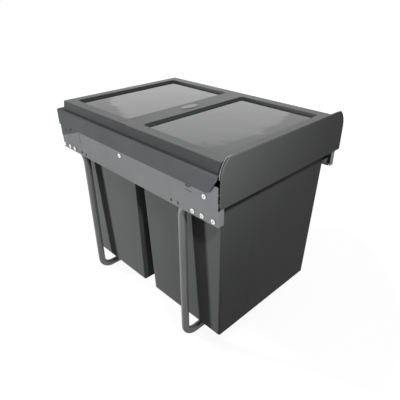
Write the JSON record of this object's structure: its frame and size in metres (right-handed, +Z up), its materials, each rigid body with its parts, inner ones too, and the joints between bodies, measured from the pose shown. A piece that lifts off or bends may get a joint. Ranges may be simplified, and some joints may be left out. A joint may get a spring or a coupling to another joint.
{
  "type": "built-in pull-out waste bin",
  "caption": "Pull-out waste bin for a base cabinet: tapered tubs hang in a sliding steel frame on ball slides, under a lid that stays on the fixed rails.",
  "frame": {"origin": "on the floor under the middle of the whole unit, at the bottom of the cradle tubes", "axes": "+Z up, -Y towards the front plate, X across the unit"},
  "size_m": [0.36, 0.515, 0.45],
  "materials": {
    "rail_paint": "satin anthracite paint",
    "frame_paint": "satin metallic grey paint",
    "slide_steel": "zinc plated",
    "bright_steel": "polished",
    "lid_plastic": "satin",
    "bin_plastic": "satin",
    "plate_plastic": "satin",
    "badge_plastic": "semi gloss",
    "buffer_rubber": "matt",
    "plug_plastic": "matt"
  },
  "bodies": {
    "cabinet_rails": {"left_cabinet_rail": "rail_paint", "right_cabinet_rail": "rail_paint", "left_outer_slide": "slide_steel", "right_outer_slide": "slide_steel", "outer_slide_rivets": "rail_paint", "rear_buffers": "buffer_rubber"},
    "middle_slides": {"left_middle_slide": "slide_steel", "right_middle_slide": "slide_steel"},
    "outer_cages": {"left_outer_ball_cage": "slide_steel", "right_outer_ball_cage": "slide_steel", "outer_slide_balls": "bright_steel"},
    "inner_cages": {"left_inner_ball_cage": "slide_steel", "right_inner_ball_cage": "slide_steel", "inner_slide_balls": "bright_steel"},
    "drawer_frame": {"left_side_panel": "frame_paint", "right_side_panel": "frame_paint", "left_inner_slide": "slide_steel", "right_inner_slide": "slide_steel", "inner_slide_rivets": "slide_steel", "left_bin_ledge": "frame_paint", "right_bin_ledge": "frame_paint", "ledge_screws": "bright_steel", "ledge_nuts": "slide_steel", "front_cradle_tube": "frame_paint", "rear_cradle_tube": "frame_paint", "tube_end_plugs": "plug_plastic", "cradle_screws": "bright_steel", "front_cross_rail": "frame_paint", "front_carrier": "frame_paint", "front_plate": "plate_plastic", "front_plate_screws": "slide_steel", "front_bin": "bin_plastic", "rear_bin": "bin_plastic"},
    "lid": {"lid": "lid_plastic", "lid_badge": "badge_plastic"}
  },
  "joints": [
    {"name": "drawer_slide", "type": "slide", "parent": "cabinet_rails", "child": "drawer_frame", "axis": [0, -1, 0], "range_m": [0, 0.44]},
    {"name": "middle_slide", "type": "slide", "parent": "cabinet_rails", "child": "middle_slides", "axis": [0, -1, 0], "range_m": [0, 0.22]},
    {"name": "outer_cage_roll", "type": "slide", "parent": "cabinet_rails", "child": "outer_cages", "axis": [0, -1, 0], "range_m": [0, 0.11]},
    {"name": "inner_cage_roll", "type": "slide", "parent": "cabinet_rails", "child": "inner_cages", "axis": [0, -1, 0], "range_m": [0, 0.33]},
    {"name": "lid_lift", "type": "slide", "parent": "cabinet_rails", "child": "lid", "axis": [0, 0, 1], "range_m": [0, 0.06]}
  ],
  "couplings": [
    {"joint": "middle_slide", "follows": "drawer_slide", "ratio": 0.5},
    {"joint": "outer_cage_roll", "follows": "drawer_slide", "ratio": 0.25},
    {"joint": "inner_cage_roll", "follows": "drawer_slide", "ratio": 0.75}
  ]
}
